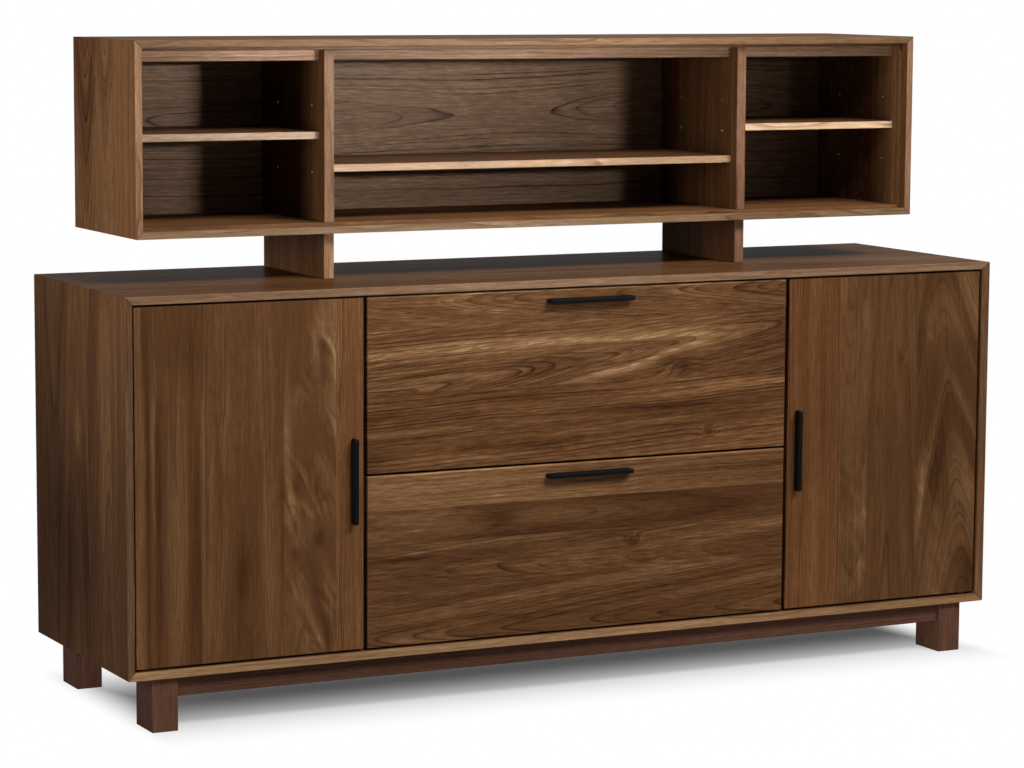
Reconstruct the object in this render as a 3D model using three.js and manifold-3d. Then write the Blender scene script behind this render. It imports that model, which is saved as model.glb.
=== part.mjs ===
// Office credenza: a mitred walnut case with two doors and two file drawers, under an open hutch on posts.
// Millimetres, +Z up, front towards -Y. The origin is on the floor, under the middle of the overall box.
import * as THREE from "three";
import { mergeVertices } from "three/addons/utils/BufferGeometryUtils.js";
import Module from "manifold-3d";

// Overall sizes
const CASE_WIDTH = 1676;
const CASE_DEPTH = 457;
const CASE_HEIGHT = 630;
const LEG_HEIGHT = 91;
const POST_HEIGHT = 79;
const HUTCH_WIDTH = 1524;
const HUTCH_DEPTH = 305;
const HUTCH_HEIGHT = 329;

// Boards
const PANEL = 18;
const BACK_PANEL = 6;
const BACK_RABBET = 9;
const CABINET_SHELF = 18;
const HUTCH_SHELF = 12.5;

// Front edges of the case and the hutch
const CASE_LIP = 13.5;
const CASE_BEVEL = 4.25;
const HUTCH_LIP = 12.5;
const HUTCH_BEVEL = 0.5;
const HUTCH_SHOULDER = 18;

// Doors and drawer fronts
const FRONT = 19;
const FRONT_SETBACK = 8;
const REVEAL = 3.25;
const DRAWER_GAP = 4;
const DRAWER_FRONT_WIDTH = 816.5;
const LOWER_FRONT_HEIGHT = 293.5;

// Door pivots and catches
const HINGE_INSET = 20;
const SWING_CLEARANCE = 1.5;
const PIN_RADIUS = 4;
const PIN_COLLAR_RADIUS = 7;
const PIN_IN_CASE = 8;
const PIN_IN_DOOR = 18;
const PIN_CLEARANCE = 0.4;
const PIN_SIDES = 20;
const CATCH_WIDTH = 14;
const CATCH_DEPTH = 34;
const CATCH_HEIGHT = 40;
const CATCH_DROP = 60;

// Pulls
const DRAWER_PULL_LENGTH = 167;
const DOOR_PULL_LENGTH = 146;
const PULL_PROJECTION = 16;
const PULL_WIDTH = 8.5;
const PULL_CORNER = 5;
const PULL_EDGE = 2.5;
const PULL_ARC_STEPS = 3;
const PULL_GROOVE_RADIUS = 4;
const PULL_GROOVE_DEPTH = 3;
const PULL_GROOVE_END = 10;
const PULL_GROOVE_SIDES = 16;
const DRAWER_PULL_DROP = 19.5;
const DRAWER_PULL_SHIFT = 12;
const DOOR_PULL_DROP = 309;
const DOOR_PULL_INSET = 19;

// Legs and apron
const LEG_WIDTH = 45;
const LEG_DEPTH = 76;
const LEG_SIDE_INSET = 44;
const LEG_FRONT_INSET = 9;
const LEG_BACK_INSET = 2;
const APRON_HEIGHT = 34;
const APRON = 19;
const APRON_SETBACK = 6;

// Drawer boxes and slides
const BOX_SIDE = 12.5;
const BOX_BOTTOM = 6;
const BOX_LIFT = 17;
const BOX_DROP = 36.5;
const BOX_REAR_ROOM = 25;
const GROOVE_DEPTH = 6;
const GROOVE_LIFT = 12;
const SLIDE_SPACE = 13;
const SLIDE_HEIGHT = 45;
const SLIDE_CHANNEL = 10;
const SLIDE_WALL = 1.8;
const SLIDE_LIP = 8;
const SLIDE_CLEARANCE = 0.4;
const SLIDE_NECK_ROOM = 1;
const SLIDE_LIFT = 80;
const SLIDE_FRONT_GAP = 3;
const SLIDE_BACK_GAP = 12;

// Hutch fittings
const DIVIDER_CENTRE = 406;
const RAIL_HEIGHT = 18;
const RAIL = 18;
const RAIL_SETBACK = 40;
const HUTCH_SHELF_SETBACK = 37;
const SHELF_BACK_GAP = 2;
const POST_FRONT_INSET = 20;
const POST_BACK_INSET = 15;

// Shelf pins and their rows of holes
const SHELF_PIN_RADIUS = 2.5;
const SHELF_PIN_UNDER = 9;
const SHELF_PIN_REACH = 6;
const SHELF_PIN_SUNK = 1;
const SHELF_PIN_CLEARANCE = 0.5;
const SHELF_PIN_END_ROOM = 1;
const HOLE_SIDES = 8;
const HOLE_ROWS = 3;
const CABINET_SHELF_ROW = 1;
const SIDE_BAY_ROW = 1;
const CENTRE_BAY_ROW = 0;
const HUTCH_HOLE_FIRST = 101;
const HUTCH_HOLE_PITCH = 57;
const HUTCH_HOLE_FRONT = 72;
const HUTCH_HOLE_BACK = 83;
const CABINET_HOLE_FIRST = 251;
const CABINET_HOLE_PITCH = 64;
const CABINET_HOLE_FRONT = 100;
const CABINET_HOLE_BACK = 80;
const CABINET_SHELF_SETBACK = 55;

// Clearances between pieces
const SEAT = 0.3;
const MITRE_GAP = 0.2;
const SHELF_CLEARANCE = 0.75;
const MERGE_DISTANCE = 0.0001;

// Places worked out from the sizes: depths from a shell's front edge, heights from its underside
const caseFront = (PULL_PROJECTION - FRONT_SETBACK - CASE_DEPTH) / 2;
const frontBack = FRONT_SETBACK + FRONT;
const hingeY = FRONT_SETBACK + FRONT / 2;
const swingRadius = Math.hypot(HINGE_INSET, FRONT / 2);
const caseShoulder = hingeY + swingRadius + SWING_CLEARANCE;
const caseInnerBack = CASE_DEPTH - BACK_PANEL - SEAT;
const caseInnerHalf = CASE_WIDTH / 2 - PANEL;
const frontsBottom = CASE_LIP + REVEAL;
const frontsTop = CASE_HEIGHT - CASE_LIP - REVEAL;
const partitionCentre = (DRAWER_FRONT_WIDTH + 2 * REVEAL) / 2;
const partitionInner = partitionCentre - PANEL / 2;
const doorFreeEdge = partitionCentre + REVEAL;
const doorHingeEdge = CASE_WIDTH / 2 - CASE_LIP - REVEAL;
const hingeX = doorHingeEdge - HINGE_INSET;
const boxHalf = partitionInner - SLIDE_SPACE;
const boxBack = caseInnerBack - BOX_REAR_ROOM;
const hutchFront = caseFront + CASE_DEPTH - HUTCH_DEPTH;
const hutchInnerBack = HUTCH_DEPTH - BACK_PANEL - SEAT;
const hutchInnerHalf = HUTCH_WIDTH / 2 - PANEL;
const pinBoreRadius = PIN_RADIUS + PIN_CLEARANCE;
const holeRadius = SHELF_PIN_RADIUS + SHELF_PIN_CLEARANCE;
const holeDepth = SHELF_PIN_REACH + SHELF_PIN_END_ROOM;

// The two sides, with their sign along X
const SIDES = Object.entries({ left: -1, right: 1 });

const wasm = await Module();
wasm.setup();

// Materials
function finish(colour, roughness, metalness = 0) {
  return new THREE.MeshStandardMaterial({ color: colour, roughness, metalness });
}

const walnut = () => finish(0x6b4527, 0.45);
const darkWalnut = () => finish(0x4c2e1f, 0.5);
const drawerWood = () => finish(0xb99a6b, 0.55);
const blackMetal = () => finish(0x1a1816, 0.45, 0.6);
const zincSteel = () => finish(0x9a9c9e, 0.35, 0.9);
const pinSteel = () => finish(0x77787a, 0.35, 0.9);
const catchPlastic = () => finish(0x3a2a20, 0.6);

// Closed geometry to a solid and back, for cuts, overlaps and joins
function toSolid(geometry) {
  const bare = geometry.clone();
  bare.deleteAttribute("normal");
  bare.deleteAttribute("uv");
  const merged = mergeVertices(bare, MERGE_DISTANCE);
  return new wasm.Manifold(
    new wasm.Mesh({
      numProp: 3,
      vertProperties: merged.attributes.position.array,
      triVerts: new Uint32Array(merged.index.array),
    }),
  );
}

function toGeometry(solid) {
  const { vertProperties, triVerts } = solid.getMesh();
  const geometry = new THREE.BufferGeometry();
  geometry.setAttribute("position", new THREE.BufferAttribute(vertProperties, 3));
  geometry.setIndex(new THREE.BufferAttribute(triVerts, 1));
  geometry.computeVertexNormals();
  return geometry;
}

function cut(geometry, tools) {
  return toGeometry(tools.reduce((solid, tool) => solid.subtract(toSolid(tool)), toSolid(geometry)));
}

function common(geometry, others) {
  return toGeometry(others.reduce((solid, other) => solid.intersect(toSolid(other)), toSolid(geometry)));
}

function join(geometry, additions) {
  return toGeometry(additions.reduce((solid, addition) => solid.add(toSolid(addition)), toSolid(geometry)));
}

// Basic forms: a box between low and high values, a round bar along one axis, and an outline
function block([x0, x1], [y0, y1], [z0, z1]) {
  const geometry = new THREE.BoxGeometry(x1 - x0, y1 - y0, z1 - z0);
  return geometry.translate((x0 + x1) / 2, (y0 + y1) / 2, (z0 + z1) / 2);
}

function barAlongX([x0, x1], y, z, radius, sides) {
  const geometry = new THREE.CylinderGeometry(radius, radius, x1 - x0, sides);
  return geometry.rotateZ(Math.PI / 2).translate((x0 + x1) / 2, y, z);
}

function barAlongZ(x, y, [z0, z1], radius, sides) {
  const geometry = new THREE.CylinderGeometry(radius, radius, z1 - z0, sides);
  return geometry.rotateX(Math.PI / 2).translate(x, y, (z0 + z1) / 2);
}

function ordered(a, b) {
  return [Math.min(a, b), Math.max(a, b)];
}

function shapeOf(points) {
  return new THREE.Shape(points.map(([a, b]) => new THREE.Vector2(a, b)));
}

function addPart(group, name, geometry, material) {
  const mesh = new THREE.Mesh(geometry, material);
  mesh.name = name;
  group.add(mesh);
  return mesh;
}

// One board of a mitred shell, lying as the top: outer face at z = 0, front edge at y = 0, length along X
function shellBoard(length, depth, edge) {
  const rabbetFront = depth - BACK_PANEL - SEAT;
  const profile = shapeOf([
    [0, 0],
    [depth, 0],
    [depth, BACK_RABBET - PANEL],
    [rabbetFront, BACK_RABBET - PANEL],
    [rabbetFront, -PANEL],
    [edge.shoulder, -PANEL],
    [edge.shoulder, -edge.lip],
    [edge.bevel, -edge.lip],
  ]);
  const geometry = new THREE.ExtrudeGeometry(profile, { depth: length, bevelEnabled: false });
  const lengthAlongX = new THREE.Matrix4().set(0, 0, 1, -length / 2, 1, 0, 0, 0, 0, 1, 0, 0, 0, 0, 0, 1);
  geometry.applyMatrix4(lengthAlongX);
  const place = geometry.attributes.position;
  for (let i = 0; i < place.count; i += 1) {
    const mitredHalf = length / 2 + place.getZ(i) - MITRE_GAP;
    place.setX(i, Math.sign(place.getX(i)) * mitredHalf);
  }
  return geometry;
}

// Four mitred boards and a back panel. Side boards are drilled from their inner face for shelf pins.
function addShell(group, prefix, { width, depth, height, edge, lipBores, sideHoles }) {
  const bores = lipBores.flatMap(([x, y]) =>
    [-x, x].map((side) => {
      const top = PIN_IN_CASE + SEAT - edge.lip;
      return barAlongZ(side, y, [-PANEL - SEAT, top], pinBoreRadius, PIN_SIDES);
    }),
  );
  const holes = sideHoles.map(([y, z]) => {
    const along = z - height / 2;
    const depthRange = [-PANEL - SEAT, holeDepth - PANEL];
    return barAlongZ(along, y, depthRange, holeRadius, HOLE_SIDES);
  });
  const level = cut(shellBoard(width, depth, edge), bores);
  const upright = cut(shellBoard(height, depth, edge), holes);
  const mirroredUpright = upright.clone().applyMatrix4(new THREE.Matrix4().makeScale(-1, 1, 1));
  const flipped = mirroredUpright.index.array;
  for (let i = 0; i < flipped.length; i += 3) {
    [flipped[i + 1], flipped[i + 2]] = [flipped[i + 2], flipped[i + 1]];
  }
  addPart(group, `${prefix}_top`, level, walnut()).position.set(0, 0, height);
  const bottom = addPart(group, `${prefix}_bottom`, level.clone(), walnut());
  bottom.rotation.y = Math.PI;
  const left = addPart(group, `${prefix}_left_side`, upright, walnut());
  left.rotation.y = -Math.PI / 2;
  left.position.set(-width / 2, 0, height / 2);
  const right = addPart(group, `${prefix}_right_side`, mirroredUpright, walnut());
  right.rotation.y = Math.PI / 2;
  right.position.set(width / 2, 0, height / 2);
  const margin = PANEL - BACK_RABBET + SEAT;
  const back = block(
    [margin - width / 2, width / 2 - margin],
    [depth - BACK_PANEL, depth],
    [margin, height - margin],
  );
  addPart(group, `${prefix}_back`, back, walnut());
}

// A shelf with its four support pins, which stand in holes at each end
function shelfOnPins([x0, x1], [y0, y1], rowHeight, thickness, columns) {
  const underside = rowHeight + SHELF_PIN_RADIUS - SHELF_PIN_SUNK;
  const board = block([x0, x1], [y0, y1], [underside, underside + thickness]);
  const pins = columns.flatMap((y) => [
    barAlongX([x0 - SHELF_PIN_REACH, x0 + SHELF_PIN_UNDER], y, rowHeight, SHELF_PIN_RADIUS, HOLE_SIDES),
    barAlongX([x1 - SHELF_PIN_UNDER, x1 + SHELF_PIN_REACH], y, rowHeight, SHELF_PIN_RADIUS, HOLE_SIDES),
  ]);
  return join(board, pins);
}

function rowHeights(first, pitch) {
  return Array.from({ length: HOLE_ROWS }, (_, row) => first + row * pitch);
}

function holesInFace([x0, x1], columns, heights) {
  return columns.flatMap((y) => heights.map((z) => barAlongX([x0, x1], y, z, holeRadius, HOLE_SIDES)));
}

// A rectangle with its two high corners rounded
function archedOutline([x0, x1], [y0, y1], radius) {
  const shape = new THREE.Shape();
  shape.moveTo(x0, y0);
  shape.lineTo(x1, y0);
  shape.absarc(x1 - radius, y1 - radius, radius, 0, Math.PI / 2);
  shape.absarc(x0 + radius, y1 - radius, radius, Math.PI / 2, Math.PI);
  return shape;
}

function softExtrusion(shape, depth) {
  return new THREE.ExtrudeGeometry(shape, { depth, bevelEnabled: false, curveSegments: PULL_ARC_STEPS });
}

// A solid bar pull: round ends, softened front corners and edges, and a finger groove along one side
function pullGeometry(length) {
  const half = length / 2;
  const halfWidth = PULL_WIDTH / 2;
  const out = [SEAT, PULL_PROJECTION];
  const plan = softExtrusion(archedOutline([-half, half], out, PULL_CORNER), PULL_WIDTH);
  plan.translate(0, 0, -halfWidth);
  const section = softExtrusion(archedOutline([-halfWidth, halfWidth], out, PULL_EDGE), length);
  section.rotateY(Math.PI / 2).translate(-half, 0, 0);
  const face = new THREE.Shape();
  face.absarc(half - halfWidth, 0, halfWidth, -Math.PI / 2, Math.PI / 2);
  face.absarc(halfWidth - half, 0, halfWidth, Math.PI / 2, -Math.PI / 2);
  const roundEnds = softExtrusion(face, PULL_PROJECTION).rotateX(-Math.PI / 2);
  const groove = barAlongX(
    [PULL_GROOVE_END - half, half - PULL_GROOVE_END],
    PULL_PROJECTION / 2,
    halfWidth + PULL_GROOVE_RADIUS - PULL_GROOVE_DEPTH,
    PULL_GROOVE_RADIUS,
    PULL_GROOVE_SIDES,
  );
  return cut(common(plan, [section, roundEnds]), [groove]);
}

// Legs under the case corners, and the apron between the front legs
function addBase(group) {
  const legX = CASE_WIDTH / 2 - LEG_SIDE_INSET - LEG_WIDTH / 2;
  const rows = {
    front: LEG_FRONT_INSET + LEG_DEPTH / 2,
    rear: CASE_DEPTH - LEG_BACK_INSET - LEG_DEPTH / 2,
  };
  for (const [row, y] of Object.entries(rows)) {
    for (const [side, sign] of SIDES) {
      const geometry = new THREE.BoxGeometry(LEG_WIDTH, LEG_DEPTH, LEG_HEIGHT - SEAT);
      const leg = addPart(group, `${row}_${side}_leg`, geometry, darkWalnut());
      leg.position.set(sign * legX, y, (LEG_HEIGHT - SEAT) / 2);
    }
  }
  const apronHalf = legX - LEG_WIDTH / 2 - SEAT;
  const apronFront = LEG_FRONT_INSET + APRON_SETBACK;
  const apron = block(
    [-apronHalf, apronHalf],
    [apronFront, apronFront + APRON],
    [LEG_HEIGHT - APRON_HEIGHT, LEG_HEIGHT - SEAT],
  );
  addPart(group, "front_apron", apron, darkWalnut());
}

// The case: shell, partitions, and a shelf behind each door
function addCase(group) {
  const heights = rowHeights(CABINET_HOLE_FIRST, CABINET_HOLE_PITCH);
  const columns = [CABINET_HOLE_FRONT, CASE_DEPTH - CABINET_HOLE_BACK];
  addShell(group, "case", {
    width: CASE_WIDTH,
    depth: CASE_DEPTH,
    height: CASE_HEIGHT,
    edge: { lip: CASE_LIP, bevel: CASE_BEVEL, shoulder: caseShoulder },
    lipBores: [[hingeX, hingeY]],
    sideHoles: columns.flatMap((y) => heights.map((z) => [y, z])),
  });
  const outerFace = partitionCentre + PANEL / 2;
  for (const [side, sign] of SIDES) {
    const board = block(
      [sign * partitionCentre - PANEL / 2, sign * partitionCentre + PANEL / 2],
      [caseShoulder, caseInnerBack],
      [PANEL + SEAT, CASE_HEIGHT - PANEL - SEAT],
    );
    const drilled = ordered(sign * (outerFace - holeDepth), sign * (outerFace + SEAT));
    const partition = cut(board, holesInFace(drilled, columns, heights));
    addPart(group, `${side}_partition`, partition, walnut());
    const shelf = shelfOnPins(
      ordered(sign * (outerFace + SHELF_CLEARANCE), sign * (caseInnerHalf - SHELF_CLEARANCE)),
      [CABINET_SHELF_SETBACK, caseInnerBack - SHELF_BACK_GAP],
      heights[CABINET_SHELF_ROW],
      CABINET_SHELF,
      columns,
    );
    addPart(group, `${side}_cabinet_shelf`, shelf, walnut());
  }
}

// A pivot pin: a shank in the case, a collar in the reveal that carries the door, and a shank in the door
function pivotPin() {
  const collarTop = REVEAL / 2 - SEAT;
  const profile = [
    [0, -REVEAL / 2 - PIN_IN_DOOR],
    [PIN_RADIUS, -REVEAL / 2 - PIN_IN_DOOR],
    [PIN_RADIUS, -collarTop],
    [PIN_COLLAR_RADIUS, -collarTop],
    [PIN_COLLAR_RADIUS, collarTop],
    [PIN_RADIUS, collarTop],
    [PIN_RADIUS, REVEAL / 2 + PIN_IN_CASE],
    [0, REVEAL / 2 + PIN_IN_CASE],
  ];
  const points = profile.map(([radius, height]) => new THREE.Vector2(radius, height));
  return new THREE.LatheGeometry(points, PIN_SIDES).rotateX(Math.PI / 2);
}

// The doors, each with its pull, its two pivot pins and its catch
function addDoors(group) {
  const boreReach = PIN_IN_DOOR + SEAT;
  for (const [side, sign] of SIDES) {
    const span = ordered(sign * doorFreeEdge, sign * doorHingeEdge);
    const slab = block(span, [FRONT_SETBACK, frontBack], [frontsBottom, frontsTop]);
    const boreRanges = [
      [frontsBottom - SEAT, frontsBottom + boreReach],
      [frontsTop - boreReach, frontsTop + SEAT],
    ];
    const bores = boreRanges.map((range) =>
      barAlongZ(sign * hingeX, hingeY, range, pinBoreRadius, PIN_SIDES),
    );
    addPart(group, `${side}_door`, cut(slab, bores), walnut());
    const pull = addPart(group, `${side}_door_pull`, pullGeometry(DOOR_PULL_LENGTH), blackMetal());
    pull.rotation.set(Math.PI, (sign * Math.PI) / 2, 0);
    pull.position.set(sign * (doorFreeEdge + DOOR_PULL_INSET), FRONT_SETBACK, frontsTop - DOOR_PULL_DROP);
    const upper = addPart(group, `${side}_door_upper_pin`, pivotPin(), pinSteel());
    upper.position.set(sign * hingeX, hingeY, frontsTop + REVEAL / 2);
    const lower = addPart(group, `${side}_door_lower_pin`, pivotPin(), pinSteel());
    lower.rotation.y = Math.PI;
    lower.position.set(sign * hingeX, hingeY, frontsBottom - REVEAL / 2);
    const catchX = sign * (partitionCentre + PANEL / 2 + SEAT + CATCH_WIDTH / 2);
    const catchBody = new THREE.BoxGeometry(CATCH_WIDTH, CATCH_DEPTH, CATCH_HEIGHT);
    const doorCatch = addPart(group, `${side}_door_catch`, catchBody, catchPlastic());
    const catchZ = CASE_HEIGHT - PANEL - CATCH_DROP - CATCH_HEIGHT / 2;
    doorCatch.position.set(catchX, frontBack + SEAT + CATCH_DEPTH / 2, catchZ);
  }
}

// The fixed member of a drawer slide: a lipped channel along Y, open towards +X, with its web on x = 0
function slideRail(length) {
  const half = SLIDE_HEIGHT / 2;
  const profile = shapeOf([
    [0, -half],
    [SLIDE_CHANNEL, -half],
    [SLIDE_CHANNEL, SLIDE_LIP - half],
    [SLIDE_CHANNEL - SLIDE_WALL, SLIDE_LIP - half],
    [SLIDE_CHANNEL - SLIDE_WALL, SLIDE_WALL - half],
    [SLIDE_WALL, SLIDE_WALL - half],
    [SLIDE_WALL, half - SLIDE_WALL],
    [SLIDE_CHANNEL - SLIDE_WALL, half - SLIDE_WALL],
    [SLIDE_CHANNEL - SLIDE_WALL, half - SLIDE_LIP],
    [SLIDE_CHANNEL, half - SLIDE_LIP],
    [SLIDE_CHANNEL, half],
    [0, half],
  ]);
  const geometry = new THREE.ExtrudeGeometry(profile, { depth: length, bevelEnabled: false });
  return geometry.rotateX(Math.PI / 2).translate(0, length, 0);
}

// The drawer member: a head that runs inside the channel, and a neck that reaches the drawer side
function slideRunner(length) {
  const headLow = SLIDE_WALL + SLIDE_CLEARANCE;
  const headHigh = SLIDE_CHANNEL - SLIDE_WALL - SLIDE_CLEARANCE;
  const headHalf = SLIDE_HEIGHT / 2 - SLIDE_WALL - SLIDE_CLEARANCE;
  const neckHalf = SLIDE_HEIGHT / 2 - SLIDE_LIP - SLIDE_NECK_ROOM;
  const neckEnd = SLIDE_SPACE - 2 * SEAT;
  const profile = shapeOf([
    [headLow, -headHalf],
    [headHigh, -headHalf],
    [headHigh, -neckHalf],
    [neckEnd, -neckHalf],
    [neckEnd, neckHalf],
    [headHigh, neckHalf],
    [headHigh, headHalf],
    [headLow, headHalf],
  ]);
  const geometry = new THREE.ExtrudeGeometry(profile, { depth: length, bevelEnabled: false });
  return geometry.rotateX(Math.PI / 2).translate(0, length, 0);
}

// One drawer: slab front, box sides, back, bottom in grooves, pull, and a slide on each side
function addDrawer(group, name, bottom, top) {
  const frontHalf = DRAWER_FRONT_WIDTH / 2;
  const boxBottom = bottom + BOX_LIFT;
  const boxTop = top - BOX_DROP;
  const boxFront = frontBack + SEAT;
  const panelBottom = boxBottom + GROOVE_LIFT;
  const panelTop = panelBottom + BOX_BOTTOM;
  const grooveHeights = [panelBottom - SEAT, panelTop + SEAT];
  const insideHalf = boxHalf - BOX_SIDE;

  const slab = block([-frontHalf, frontHalf], [FRONT_SETBACK, frontBack], [bottom, top]);
  const grooveHalf = insideHalf + GROOVE_DEPTH;
  const frontGroove = block([-grooveHalf, grooveHalf], [frontBack - GROOVE_DEPTH, boxFront], grooveHeights);
  addPart(group, `${name}_drawer_front`, cut(slab, [frontGroove]), walnut());

  const pull = addPart(group, `${name}_drawer_pull`, pullGeometry(DRAWER_PULL_LENGTH), blackMetal());
  pull.rotation.x = Math.PI;
  pull.position.set(DRAWER_PULL_SHIFT, FRONT_SETBACK, top - DRAWER_PULL_DROP);

  const sideGrooveDepths = [boxFront - SEAT, boxBack + SEAT];
  for (const [side, sign] of SIDES) {
    const board = ordered(sign * insideHalf, sign * boxHalf);
    const groove = ordered(sign * (insideHalf - SEAT), sign * grooveHalf);
    const boxSide = cut(block(board, [boxFront, boxBack], [boxBottom, boxTop]), [
      block(groove, sideGrooveDepths, grooveHeights),
    ]);
    addPart(group, `${name}_drawer_${side}_side`, boxSide, drawerWood());
  }
  const innerHalf = insideHalf - SEAT;
  const backBoard = block([-innerHalf, innerHalf], [boxBack - BOX_SIDE, boxBack], [panelTop + SEAT, boxTop]);
  addPart(group, `${name}_drawer_back`, backBoard, drawerWood());
  const panelHalf = grooveHalf - SEAT;
  const panelDepths = [frontBack - GROOVE_DEPTH + SEAT, boxBack];
  const panel = block([-panelHalf, panelHalf], panelDepths, [panelBottom, panelTop]);
  addPart(group, `${name}_drawer_bottom`, panel, drawerWood());

  const slideStart = caseShoulder + SLIDE_FRONT_GAP;
  const slideLength = boxBack - SLIDE_BACK_GAP - slideStart;
  for (const [side, sign] of SIDES) {
    const pair = new THREE.Group();
    pair.position.set(sign * (partitionInner - SEAT), slideStart, boxBottom + SLIDE_LIFT);
    if (sign > 0) {
      pair.rotation.y = Math.PI;
    }
    group.add(pair);
    addPart(pair, `${name}_${side}_slide_rail`, slideRail(slideLength), zincSteel());
    addPart(pair, `${name}_${side}_slide_runner`, slideRunner(slideLength), zincSteel());
  }
}

// The hutch: shell, dividers, and a rail and a shelf in each bay
function addHutch(group) {
  const heights = rowHeights(HUTCH_HOLE_FIRST, HUTCH_HOLE_PITCH);
  const columns = [HUTCH_HOLE_FRONT, HUTCH_DEPTH - HUTCH_HOLE_BACK];
  addShell(group, "hutch", {
    width: HUTCH_WIDTH,
    depth: HUTCH_DEPTH,
    height: HUTCH_HEIGHT,
    edge: { lip: HUTCH_LIP, bevel: HUTCH_BEVEL, shoulder: HUTCH_SHOULDER },
    lipBores: [],
    sideHoles: columns.flatMap((y) => heights.map((z) => [y, z])),
  });
  const innerTop = HUTCH_HEIGHT - PANEL;
  for (const [side, sign] of SIDES) {
    const low = sign * DIVIDER_CENTRE - PANEL / 2;
    const high = low + PANEL;
    const depths = [HUTCH_SHOULDER, hutchInnerBack];
    const board = block([low, high], depths, [PANEL + SEAT, innerTop - SEAT]);
    const drilled = cut(board, [
      ...holesInFace([low - SEAT, low + holeDepth], columns, heights),
      ...holesInFace([high - holeDepth, high + SEAT], columns, heights),
    ]);
    addPart(group, `hutch_${side}_divider`, drilled, walnut());
  }
  const dividerInner = DIVIDER_CENTRE - PANEL / 2;
  const dividerOuter = DIVIDER_CENTRE + PANEL / 2;
  const bays = [
    { name: "left", span: [-hutchInnerHalf, -dividerOuter], row: heights[SIDE_BAY_ROW] },
    { name: "centre", span: [-dividerInner, dividerInner], row: heights[CENTRE_BAY_ROW] },
    { name: "right", span: [dividerOuter, hutchInnerHalf], row: heights[SIDE_BAY_ROW] },
  ];
  for (const { name, span, row } of bays) {
    const rail = block(
      [span[0] + SEAT, span[1] - SEAT],
      [RAIL_SETBACK, RAIL_SETBACK + RAIL],
      [innerTop - SEAT - RAIL_HEIGHT, innerTop - SEAT],
    );
    addPart(group, `hutch_${name}_rail`, rail, walnut());
    const shelf = shelfOnPins(
      [span[0] + SHELF_CLEARANCE, span[1] - SHELF_CLEARANCE],
      [HUTCH_SHELF_SETBACK, hutchInnerBack - SHELF_BACK_GAP],
      row,
      HUTCH_SHELF,
      columns,
    );
    addPart(group, `hutch_${name}_shelf`, shelf, walnut());
  }
}

// The posts that stand on the case top under the dividers
function addPosts(group) {
  for (const [side, sign] of SIDES) {
    const depth = HUTCH_DEPTH - POST_FRONT_INSET - POST_BACK_INSET;
    const geometry = new THREE.BoxGeometry(PANEL, depth, POST_HEIGHT - 2 * SEAT);
    const post = addPart(group, `${side}_post`, geometry, walnut());
    post.position.set(sign * DIVIDER_CENTRE, POST_FRONT_INSET + depth / 2, POST_HEIGHT / 2);
  }
}

// The assembly
function groupAt(parent, y, z) {
  const group = new THREE.Group();
  group.position.set(0, y, z);
  parent.add(group);
  return group;
}

const credenza = new THREE.Group();
const caseGroup = groupAt(credenza, caseFront, LEG_HEIGHT);
const lowerFrontTop = frontsBottom + LOWER_FRONT_HEIGHT;
addBase(groupAt(credenza, caseFront, 0));
addCase(caseGroup);
addDoors(caseGroup);
addDrawer(caseGroup, "lower", frontsBottom, lowerFrontTop);
addDrawer(caseGroup, "upper", lowerFrontTop + DRAWER_GAP, frontsTop);
addPosts(groupAt(credenza, hutchFront, LEG_HEIGHT + CASE_HEIGHT));
addHutch(groupAt(credenza, hutchFront, LEG_HEIGHT + CASE_HEIGHT + POST_HEIGHT));

export default credenza;
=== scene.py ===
"""Looks of the office credenza: walnut boards, dark pulls, pale drawer boxes and a white studio."""

import math

import bmesh
import bpy
from mathutils import Matrix, Vector


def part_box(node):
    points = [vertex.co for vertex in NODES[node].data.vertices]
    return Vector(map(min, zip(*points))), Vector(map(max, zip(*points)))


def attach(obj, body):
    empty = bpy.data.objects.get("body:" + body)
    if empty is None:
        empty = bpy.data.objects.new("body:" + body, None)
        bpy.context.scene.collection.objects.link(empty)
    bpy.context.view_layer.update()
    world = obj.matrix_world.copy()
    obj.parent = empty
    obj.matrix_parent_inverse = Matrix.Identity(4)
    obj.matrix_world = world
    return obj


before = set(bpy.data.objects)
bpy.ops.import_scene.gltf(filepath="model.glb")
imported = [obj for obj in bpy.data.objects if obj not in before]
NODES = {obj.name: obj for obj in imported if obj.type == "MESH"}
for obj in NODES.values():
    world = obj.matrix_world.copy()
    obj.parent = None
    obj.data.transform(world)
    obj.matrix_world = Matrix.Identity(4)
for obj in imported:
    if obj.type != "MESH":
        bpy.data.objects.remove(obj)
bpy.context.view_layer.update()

MM = 0.001
AXES = "xyz"


# Node trees

# The noise texture's values lie about 0.25 to 0.75, and this spreads them to about -1 to 1.
NOISE_SPAN = 4.0


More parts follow.
